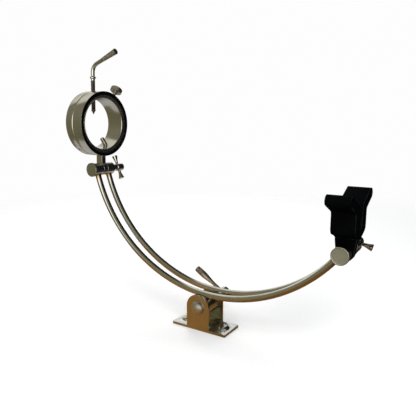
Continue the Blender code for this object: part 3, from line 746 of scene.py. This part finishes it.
def build_hinge(side_name, hinge, knob, bar_angle):
    """Two knuckles, bolt, washer and wing knob; knob is the Y of the wings' axis."""
    for name, side in (("front", -1), ("rear", 1)):
        low, high = sorted((side * KNUCKLE_INNER, side * KNUCKLE_OUTER))
        shell = sleeve(low, high, HINGE_BORE, KNUCKLE_RADIUS, 0.7, 4, 88)
        piece(f"{side_name}_knuckle_shell_{name}", shell, POLISHED_TURNED, "arc_frame", along_y(hinge),
              [f"{side_name}_knuckle_{name}"])
    build_hinge_bolt(side_name, hinge, knob)
    washer = sleeve(KNUCKLE_OUTER + GAP, WASHER_END, HINGE_BORE, 8.5, 0.3, 3, 64)
    piece(side_name + "_washer_ring", washer, SATIN_TURNED, "arc_frame", along_y(hinge),
          [side_name + "_hinge_washer"])
    build_knob(side_name, hinge, knob, bar_angle)


def build_hinge_bolt(side_name, hinge, knob):
    """Turned disc head with a slightly raised rim, then the shank with a chamfered end."""
    face = -(KNUCKLE_OUTER + GAP)
    front = face - 4.2
    end = knob + 6.0
    head = [(front + 0.12, 0.0), (front + 0.12, 10.9), (front, 11.2), (front, DISC_RADIUS, 0.9)]
    head += [(face, DISC_RADIUS), (face, 4.0)]
    shank = [(end - 0.9, 4.0, 0.2), (end, 3.1, 0.2), (end, 0.0)]
    profile = rounded(head, 0.3, 4)[:-1] + [(face, 4.0)] + rounded(shank, 0.2, 2)
    piece(side_name + "_bolt_disc", lathe(profile, 96), DISC_STEEL, "arc_frame", along_y(hinge),
          [side_name + "_hinge_bolt"], sharp=60.0)


def build_knob(side_name, hinge, knob, bar_angle):
    """Cap nut with a dimpled end and two flared wings."""
    start = (WASHER_END if side_name == "left" else RIGHT_SPACER_END) + GAP
    body = side_name + "_knob"
    depth, high = knob + 7.0, knob + 9.5
    profile = [(depth, 0.0), (depth, HINGE_BORE), (start, HINGE_BORE), (start, 5.6), (knob - 6.1, 5.6)]
    profile += [(knob - 4.9, KNOB_RADIUS), (high, KNOB_RADIUS, 1.3), (high, 4.2, 0.3)]
    profile += [(high - 0.35, 3.6, 0.3), (high - 0.35, 0.0)]
    piece(body + "_nut", lathe(rounded(profile, 0.6, 5), 80), POLISHED_TURNED, body, along_y(hinge),
          [body + "_hub"])
    root, end, turn = KNOB_RADIUS + 0.2, WING_REACH, math.radians(bar_angle)
    wing = [(root, 0.0), (root, 2.7), (9.4, 2.5, 1.0), (13.0, 3.0, 3.0), (end - 0.4, 5.3, 0.8)]
    wing += [(end, 4.7, 0.3), (end, 0.0)]
    for name, side in (("a", 1), ("b", -1)):
        aim = Vector((side * math.cos(turn), 0.0, side * math.sin(turn)))
        piece(f"{body}_flare_{name}", lathe(dense(rounded(wing, 0.4, 5), 1.2), 56), POLISHED_TURNED, body,
              pointing(aim, hinge + Vector((0.0, knob, 0.0))), [f"{body}_wing_{name}"])


def build_spacer():
    """Long sleeve that sets the cradle's knob further back than the ring's."""
    spacer = sleeve(WASHER_END + GAP, RIGHT_SPACER_END, HINGE_BORE, 10.4, 0.6, 4, 80)
    piece("right_spacer_sleeve", spacer, POLISHED_TURNED, "arc_frame", along_y(RIGHT),
          ["right_hinge_spacer"])


# ---------------------------------------------------------------- ring head
def build_neck():
    """Flat bar with the middle knuckle, and the bead that joins it to the fixed ring."""
    top = RING_CENTRE - RING_RADIUS - GAP - 0.05
    start = 180.0 - math.degrees(math.asin(math.sqrt(1 - (NECK_REAR / KNUCKLE_RADIUS) ** 2)))
    end = 360.0 + math.degrees(math.acos(NECK_FRONT / KNUCKLE_RADIUS))
    outline = [(NECK_FRONT, top), (-NECK_REAR, top)] + arc((0.0, 0.0), KNUCKLE_RADIUS, start, end, 48)
    neck = prism(outline, -TONGUE_HALF, TONGUE_HALF, "Y")
    neck = softened(combine(neck, [drill(HINGE_BORE, -9.0, 9.0, along_y())]), 0.4, 3)
    piece("neck_plate", neck, SATIN_FLAT, "ring_head", HEAD, ["neck"], sharp=40.0)
    count = 60
    points, radii = [], []
    for k in range(count):
        turn = TAU * k / count
        x = -2.2 + 6.6 * squared(math.cos(turn))
        y = 4.6 * squared(math.sin(turn))
        z = RING_CENTRE - math.sqrt((RING_RADIUS + 0.05) ** 2 - y * y)
        points.append((x, y, z - 0.35))
        radii.append(0.7 + 0.1 * math.sin(10 * turn))
    piece("weld_neck", sweep(points, radii, 10, closed=True), WELD, "ring_head", HEAD, sharp=80.0)


def squared(value):
    """Push a sine or cosine towards its extremes, so that a circle becomes a rounded rectangle."""
    return math.copysign(abs(value) ** 0.35, value)


def ring_hole(radius, x, angle, low):
    """Radial hole out through the band, in the frame of the ring's own axis."""
    return drill(radius, low, 60.0, RING_AXIS.inverted() @ radial(x, angle))


def build_rings():
    """Fixed band, black face ring and the turning band with its inner sleeve and pins."""
    seam, front, face_outer = RING_SEAM + GAP / 2, RING_FRONT, RING_RADIUS - 0.8
    profile = [(seam, BAND_INNER), (seam, RING_RADIUS - RING_GROOVE), (seam + RING_GROOVE, RING_RADIUS, 0.3)]
    profile += [(front, RING_RADIUS, 0.6), (front, face_outer + GAP), (front - 3.0, face_outer + GAP)]
    profile += [(front - 3.0, BAND_INNER)]
    holes = [ring_hole(2.9, THUMB_X, THUMB_ANGLE, 46.0)]
    band = combine(lathe(rounded(profile, 0.15, 3, True), 192, True), holes)
    piece("fixed_band", band, BRUSHED_BAND, "ring_head", RING_AXIS, ["fixed_ring"])
    inner = SLEEVE_OUTER + GAP
    face = [(front - 2.7, inner), (front + 0.3, inner, 0.9), (front + 0.3, face_outer, 0.9)]
    face += [(front - 2.7, face_outer)]
    piece("face_seal", lathe(rounded(face, 0.3, 5, True), 192, True), BLACK_GLOSS, "ring_head", RING_AXIS,
          ["face_ring"])
    seam, rear, front = RING_SEAM - GAP / 2, RING_REAR, RING_FRONT - 0.6
    groove, floor = RING_FRONT - 5.0, SLEEVE_OUTER - 1.4
    profile = [(rear, SLEEVE_INNER, 0.7), (rear, RING_RADIUS, 0.9), (seam - RING_GROOVE, RING_RADIUS, 0.3)]
    profile += [(seam, RING_RADIUS - RING_GROOVE), (seam, SLEEVE_OUTER), (groove, SLEEVE_OUTER)]
    profile += [(groove, floor), (groove + 1.7, floor), (groove + 1.7, SLEEVE_OUTER)]
    profile += [(front, SLEEVE_OUTER, 0.25), (front, SLEEVE_OUTER - 0.6, 0.2)]
    profile += [(front - 2.2, SLEEVE_INNER + 0.7, 0.3), (front - 2.9, SLEEVE_INNER, 0.3)]
    holes = [ring_hole(4.2, SPIKE_X, 0.0, 40.0)]
    holes += [ring_hole(3.3, SPIKE_X, side * PIN_ANGLE, 40.0) for side in (-1, 1)]
    band = combine(lathe(rounded(profile, 0.15, 3, True), 192, True), holes)
    piece("turning_band", band, BRUSHED_BAND, "turning_ring", RING_AXIS, ["rotating_ring"])
    for name, side in (("front", -1), ("rear", 1)):
        build_pin(name, side)


def build_pin(name, side):
    """Fixed pin with a chamfered, rounded tip and a socket in its outer end."""
    outer = RING_RADIUS - 1.0
    profile = [(32.0, 0.0), (32.0, 2.7, 0.8), (33.7, 4.0, 0.7), (43.9, 4.0), (43.9, 3.0), (outer, 3.0)]
    profile += [(outer, 1.6), (outer - 3.0, 1.6), (outer - 3.0, 0.0)]
    piece("pin_" + name, lathe(rounded(profile, 0.25, 4), 56), POLISHED_TURNED, "turning_ring",
          radial(SPIKE_X, side * PIN_ANGLE), ["ring_pin_" + name])


def build_spike():
    """Pointed screw with a collar, and a bent crank handle with a knurled grip."""
    axis = radial(SPIKE_X, 0.0)
    tip = [(SPIKE_TIP, 0.0), (SPIKE_TIP + 6.0, 2.9, 0.2), (SPIKE_TIP + 6.6, 3.9, 0.2), (SPIKE_TIP + 7.4, 3.9)]
    top = [(SPIKE_TIP + 7.5, 3.9), (SPIKE_TOP - 1.0, 3.9), (SPIKE_TOP, 3.4), (SPIKE_TOP, 0.0)]
    profile = rounded(tip, 0.1, 3) + dense(top, 0.16)
    relief = thread(1.25, 0.55, SPIKE_TIP + 7.4, SPIKE_TOP - 1.0)
    piece("spike_thread", lathe(profile, 52, relief=relief), DARK_THREAD, "spike", axis, ["spike_screw"],
          sharp=75.0)
    low = SPIKE_TOP + GAP
    collar = [(low, 0.0), (low, 3.6), (SPIKE_TOP + 3.6, 3.6), (SPIKE_TOP + 4.4, 5.4), (SPIKE_TOP + 6.6, 5.4)]
    collar += [(SPIKE_TOP + 7.4, 3.9), (SPIKE_TOP + 8.1, 3.7), (SPIKE_TOP + 8.1, 0.0)]
    piece("spike_collar_turned", lathe(rounded(collar, 0.7, 4), 56), POLISHED_TURNED, "spike_crank", axis,
          ["spike_collar"])
    slope, bend, bar_end, step = math.radians(HANDLE_SLOPE), HANDLE_CURVE, 26.0, 1.5
    setback = bend * math.tan((math.pi / 2 - slope) / 2)
    path = [(0.0, SPIKE_TOP + 8.2), (0.0, HANDLE_BEND - setback - 3.0)]
    path += arc((bend, HANDLE_BEND - setback), bend, 180.0, 90.0 + HANDLE_SLOPE, 22)
    straight = [setback + step + k * step for k in range(30)]
    straight = [d for d in straight if d < bar_end - 0.5] + [bar_end]
    path += [(d * math.cos(slope), HANDLE_BEND + d * math.sin(slope)) for d in straight]
    points = [(x, 0.0, z) for x, z in path]
    piece("spike_handle_bar", sweep(points, [HANDLE_RADIUS] * len(points), 40), POLISHED, "spike_crank", axis,
          ["spike_handle"], sharp=50.0)
    aim = Vector((math.cos(slope), 0.0, math.sin(slope)))
    low, high = bar_end + 0.15, HANDLE_REACH
    grip = [(low, 0.0), (low, 3.5), (low + 4.0, 3.75, 1.0), (46.0, 4.35, 6.0)]
    grip += [(high - 0.3, 5.1, 0.9), (high, 0.0)]
    relief = knurl(1.15, 0.26, low + 3.0, high - 1.0, 24)
    piece("spike_grip_knurled", lathe(dense(rounded(grip, 0.3, 4), 0.19), 168, relief=relief), KNURLED,
          "spike_crank", axis @ pointing(aim, (0.0, 0.0, HANDLE_BEND)), ["spike_grip"], sharp=70.0)


def build_thumb_screw():
    """Threaded stud that clamps the turning ring, with a knurled knob."""
    axis = radial(THUMB_X, THUMB_ANGLE)
    tip, start = SLEEVE_OUTER + GAP, THUMB_KNOB_START
    stud = rounded([(tip, 0.0), (tip, 2.6, 0.8), (tip + 2.0, 2.6)], 0.3, 3)
    stud += dense([(tip + 2.1, 2.6), (start + 4.0, 2.6), (start + 4.0, 0.0)], 0.15)
    relief = thread(1.0, 0.4, tip + 2.0, start - 3.0)
    piece("thumb_stud_thread", lathe(stud, 44, relief=relief), POLISHED_TURNED, "thumb_stud_body", axis,
          ["thumb_stud"], sharp=75.0)
    end, radius = start + 9.0, THUMB_KNOB_RADIUS
    knob = [(start + 4.4, 0.0), (start + 4.4, 2.9), (start - 3.0, 2.9), (start - 3.0, 4.3)]
    knob += [(start - 0.4, 4.3, 0.8), (start, 5.2, 0.5), (start, 8.6, 0.3), (start + 1.2, radius, 0.4)]
    knob += [(end - 1.4, radius, 0.4), (end, 8.9, 0.5), (end, 4.4, 0.3), (end - 0.5, 3.8, 0.3)]
    knob += [(end - 0.5, 0.0)]
    relief = knurl(1.5, 0.45, start + 1.1, end - 1.3, 44, radius - 1.0)
    piece("thumb_knob_knurled", lathe(dense(rounded(knob, 0.3, 3), 0.25), 264, relief=relief), KNURLED,
          "thumb_knob_body", axis, ["thumb_knob"], sharp=70.0)


# ---------------------------------------------------------------- cradle
def cradle_outline():
    """Half outline in the YZ plane from the slot's floor round the wing to the stem, then mirrored."""
    half, wing, top, shoulder, floor = 26.3, 55.0, 82.0, 58.5, 21.0
    right = arc((0.0, 37.5), 4.5, -90.0, 0.0, 8)
    right += [(7.0, 62.5), (8.6, 65.9)]
    right += oval((wing - 8.5, top - 8.0), 8.5, 8.0, 105.0, 0.0, 18)
    right += oval((wing - 6.5, top - 8.0), 6.5, 6.0, -8.0, -62.0, 9)
    right += arc((half + 5.0, shoulder - 4.6), 5.0, 112.0, 180.0, 8)
    right += arc((half - 9.0, floor + 14.0), 9.0, 0.0, -65.0, 10)
    right += [(7.7, floor + 0.6), (4.7, floor - 1.5)]
    left = [(-y, z) for y, z in reversed(right[1:])]
    return right + left


def build_cradle():
    """Fork moulding with its stem and knuckle in one piece."""
    back, front = -14.0, 18.0
    body = prism(cradle_outline(), back, front, "X")
    outline = [(front - 2.0, 23.0), (back + 0.1, 23.0), (back + 0.1, 17.0)]
    outline += arc((0.0, 0.0), 12.5, 170.0, 370.0, 48)
    body = combine(body, [prism(outline, -TONGUE_HALF, TONGUE_HALF, "Y")], "UNION")
    body = softened(combine(body, [drill(HINGE_BORE, -9.0, 9.0, along_y())]), 0.9, 4, 28.0)
    piece("cradle_moulding", body, BLACK, "cradle_body", at(RIGHT), ["cradle"], sharp=38.0)


# ---------------------------------------------------------------- stage
PAPER = ((0.80, 0.80, 0.79, 1.0), (0.86, 0.86, 0.85, 1.0))
WOOD_LIGHT = ((0.30, 0.148, 0.036, 1.0), (0.40, 0.21, 0.058, 1.0))
# Wood in painted shadow, seen in reflections on the floor's +X side
WOOD_IN_PAINTED_SHADOW = ((0.18, 0.089, 0.022, 1.0), (0.24, 0.126, 0.035, 1.0))
FLOOR_PALE = (0.56, 0.56, 0.55, 1.0)
FLOOR_KHAKI = (0.33, 0.325, 0.23, 1.0)
FLOOR_OLIVE = (0.17, 0.16, 0.095, 1.0)
# Painted shadow, seen in the steel's reflections of the floor
PAINTED_SHADOW_BLACK = (0.03, 0.03, 0.03, 1.0)


def floor_reflection(look, place):
    """What steel sees of the floor: a warm table, with paler and olive areas round it, and painted shadow in
    black on the +X side and along the olive area's edge, where the table is darker too.
    """
    x, y = look.split(place)[:2]
    warm = look.math("MULTIPLY", look.band(x, -0.375, 0.27, 0.04), look.band(y, -0.39, 0.14, 0.03))
    left = look.math("MULTIPLY", look.ramp(x, -0.64, -0.62, 1.0, 0.0), look.ramp(y, 0.03, 0.07, 1.0, 0.0))
    # A thin line of painted shadow along the olive area's edge
    line = look.math("MULTIPLY", look.band(left, 0.15, 0.85, 0.1), 0.85)
    tan = look.blend(look.noise(place, 9.0, 3.0), *WOOD_LIGHT)
    tan_in_shadow = look.blend(look.noise(place, 9.0, 3.0), *WOOD_IN_PAINTED_SHADOW)
    # The table darker in painted shadow on the +X side
    tan = look.blend(look.ramp(x, -0.02, 0.06), tan, tan_in_shadow)
    front = look.ramp(y, -0.50, -0.30, 1.0, 0.0)
    corner = look.math("MULTIPLY", look.ramp(x, -0.34, -0.26, 1.0, 0.0), look.ramp(y, -0.24, -0.18, 1.0, 0.0))
    # Painted shadow over the floor's +X side
    seen = look.blend(look.ramp(x, -0.16, -0.02), FLOOR_PALE, PAINTED_SHADOW_BLACK)
    seen = look.blend(front, seen, FLOOR_KHAKI)
    seen = look.blend(corner, seen, FLOOR_OLIVE)
    seen = look.blend(left, seen, FLOOR_OLIVE)
    seen = look.blend(line, seen, PAINTED_SHADOW_BLACK)
    return look.blend(warm, seen, tan)


def build_floor():
    """Pale seamless floor that fades into the backdrop; steel sees warm light coming off it."""
    look = Look(bpy.data.materials.new("floor_paper"))
    look.tree.nodes.remove(look.tree.nodes["Principled BSDF"])
    place = look.add("NewGeometry").outputs["Position"]
    path = look.add("LightPath")
    paper = look.blend(look.noise(place, 180.0, 3.0), *PAPER)
    matte = look.add("BsdfDiffuse", {"Color": paper}).outputs[0]
    glow = look.add("Emission", {"Color": floor_reflection(look, place), "Strength": 0.85}).outputs[0]
    shade = look.add("MixShader", {0: path.outputs["Is Glossy Ray"], 1: matte, 2: glow}).outputs[0]
    reach = look.add("VectorMath", {0: place}, operation="LENGTH").outputs["Value"]
    clear = look.add("BsdfTransparent").outputs[0]
    mixed = look.add("MixShader", {0: look.ramp(reach, 0.55, 1.7), 1: shade, 2: clear}).outputs[0]
    look.tree.links.new(mixed, look.tree.nodes["Material Output"].inputs["Surface"])
    bm = bmesh.new()
    bmesh.ops.create_circle(bm, cap_ends=True, segments=96, radius=FLOOR_RADIUS)
    mesh = bpy.data.meshes.new("floor")
    bm.to_mesh(mesh)
    bm.free()
    mesh.materials.append(look.owner)
    floor = bpy.data.objects.new("floor", mesh)
    bpy.context.scene.collection.objects.link(floor)


ROOM_OLIVE = ((0.165, 0.155, 0.092, 1.0), (0.21, 0.20, 0.14, 1.0))
BACK_WALL = ((0.07, 0.065, 0.05, 1.0), (1.00, 0.99, 0.95, 1.0))
LEFT_WALL = ((0.90, 0.89, 0.85, 1.0), (0.52, 0.51, 0.46, 1.0))
CEILING = ((0.76, 0.75, 0.68, 1.0), (0.02, 0.02, 0.02, 1.0))
CEILING_FRONT = (0.20, 0.19, 0.13, 1.0)
SEAM_DARK = (0.09, 0.09, 0.07, 1.0)
WINDOW_WHITE = (1.45, 1.43, 1.38, 1.0)
DARK_SIDE = (0.010, 0.010, 0.012, 1.0)
FILL_BLUE = (0.93, 0.95, 1.0, 1.0)
BACKDROP = (0.985, 0.985, 0.985, 1.0)


def room_reflection(look):
    """What steel sees of the room, by direction: walls, a window, a dark side and a split ceiling."""
    x, y, up = look.split(look.add("TexCoord").outputs["Generated"])
    azimuth = look.math("MULTIPLY", look.math("ARCTAN2", y, x), 180 / math.pi)
    seam = look.band(y, -0.25, -0.17, 0.03)
    overhead = look.blend(look.ramp(x, -0.36, -0.22), *CEILING)
    overhead = look.blend(look.ramp(y, -0.26, -0.14), CEILING_FRONT, overhead)
    overhead = look.blend(seam, overhead, SEAM_DARK)
    olive = look.blend(look.ramp(up, -0.1, 0.45), *ROOM_OLIVE)
    back = look.blend(look.ramp(up, 0.0, 0.05), *BACK_WALL)
    room = look.blend(look.ramp(azimuth, 142.0, 160.0), back, olive)
    room = look.blend(look.ramp(azimuth, -34.0, -24.0, 1.0, 0.0), room, olive)
    window = look.math("MULTIPLY", look.band(azimuth, -104.0, -28.0, 7.0),
                       look.ramp(up, 0.30, 0.42, 1.0, 0.0))
    room = look.blend(window, room, WINDOW_WHITE)
    room = look.blend(look.band(azimuth, -24.0, 112.0, 6.0), room, DARK_SIDE)
    left = look.math("MULTIPLY", look.ramp(x, -0.45, -0.36, 1.0, 0.0), look.ramp(up, 0.24, 0.36))
    wall = look.blend(look.ramp(up, 0.36, 0.54), *LEFT_WALL)
    room = look.blend(look.math("MULTIPLY", left, look.ramp(y, -0.20, -0.12)), room, wall)
    room = look.blend(look.math("MULTIPLY", left, seam), room, SEAM_DARK)
    return look.blend(look.ramp(up, 0.56, 0.68, 1.0, 0.0), overhead, room)


def build_world():
    """White backdrop to the camera; polished steel sees a soft room with bright and dark areas."""
    world = bpy.data.worlds.new("studio")
    bpy.context.scene.world = world
    look = Look(world)
    look.tree.nodes.clear()
    path = look.add("LightPath").outputs
    fill = look.add("Background", {"Color": FILL_BLUE, "Strength": 0.72}).outputs[0]
    seen = look.add("Background", {"Color": room_reflection(look), "Strength": 1.0}).outputs[0]
    plain = look.add("Background", {"Color": BACKDROP, "Strength": 1.0}).outputs[0]
    mixed = look.add("MixShader", {0: path["Is Glossy Ray"], 1: fill, 2: seen}).outputs[0]
    mixed = look.add("MixShader", {0: path["Is Camera Ray"], 1: mixed, 2: plain}).outputs[0]
    output = look.add("OutputWorld")
    look.tree.links.new(mixed, output.inputs["Surface"])


def build_light(name, place, size, power):
    """Large soft lamp aimed at the object's middle; steel doesn't show it."""
    data = bpy.data.lights.new(name, "AREA")
    data.shape = "RECTANGLE"
    data.size, data.size_y = size
    data.energy = power
    data.color = (1.0, 0.98, 0.95)
    lamp = bpy.data.objects.new(name, data)
    lamp.location = place
    lamp.visible_glossy = False
    lamp.rotation_euler = (Vector(LAMP_AIM) - Vector(place)).to_track_quat("-Z", "Y").to_euler()
    bpy.context.scene.collection.objects.link(lamp)


def build_camera():
    """Camera in front of the cradle end, looking slightly down and back towards the ring."""
    data = bpy.data.cameras.new("camera")
    data.lens = CAMERA_LENS
    data.sensor_width = CAMERA_SENSOR
    camera = bpy.data.objects.new("camera", data)
    camera.location = CAMERA_PLACE
    camera.rotation_euler = Vector(CAMERA_VIEW).to_track_quat("-Z", "Y").to_euler()
    bpy.context.scene.collection.objects.link(camera)
    bpy.context.scene.camera = camera


ROD_LENGTH = ARC_RADIUS * (rod_end(RIGHT, 0.0, KNUCKLE_RADIUS, 1) - rod_end(LEFT, 0.0, KNUCKLE_RADIUS, -1))
ROD_STEEL = steel("rod_steel", BRIGHT, 0.08, "along_z", 3.0, 0.05, 0.035, heat=ROD_LENGTH)
DISC_STEEL = steel("turned_disc_steel", (0.66, 0.65, 0.56), 0.22, "turned", 5.0, 0.30, 0.06)

build_base()
build_pivot()
build_lever()
build_arc()
build_hinge("left", LEFT, LEFT_KNOB_Y, LEFT_WING_ANGLE)
build_hinge("right", RIGHT, RIGHT_KNOB_Y, RIGHT_WING_ANGLE)
build_spacer()
build_neck()
build_rings()
build_spike()
build_thumb_screw()
build_cradle()
for node_name, finish in (("ring_bush", BLACK), ("retaining_ring", SATIN_TURNED)):
    for material_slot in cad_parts[node_name].material_slots:
        material_slot.material = finish

build_floor()
build_world()
build_light("key", (0.9, -1.0, 1.3), (0.9, 0.9), 22.0)
build_light("rim", (-0.9, 1.0, 1.1), (0.8, 0.8), 12.0)
build_camera()
bpy.context.scene.view_settings.view_transform = "Standard"
